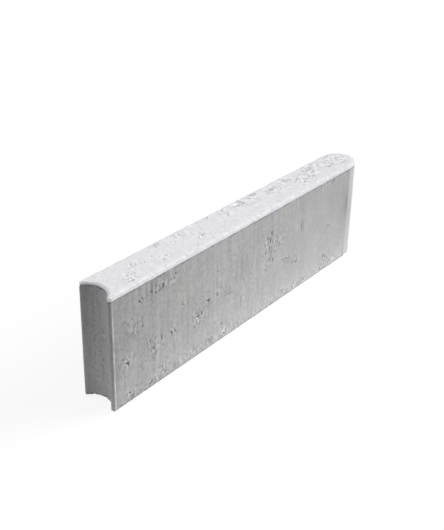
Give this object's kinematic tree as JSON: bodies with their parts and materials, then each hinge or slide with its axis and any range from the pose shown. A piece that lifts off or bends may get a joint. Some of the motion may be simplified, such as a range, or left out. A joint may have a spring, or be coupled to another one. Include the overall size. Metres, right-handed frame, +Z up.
{
  "type": "kerb",
  "caption": "Straight edging kerb of pressed concrete with a hollow upright end, a half-round upright tongue and a pale facing on its top.",
  "frame": {"origin": "middle of the base, at the height of the ground it stands on", "axes": "+X along the kerb from the hollow end to the tongue, +Y from the front face to the back face, +Z up"},
  "size_m": [1, 0.1, 0.3],
  "materials": {
    "concrete": "pressed grey concrete with fine pores, and a pale fine-grained facing mix about 12 mm deep on the top"
  },
  "bodies": {
    "root": {"kerb": "concrete"}
  },
  "joints": []
}
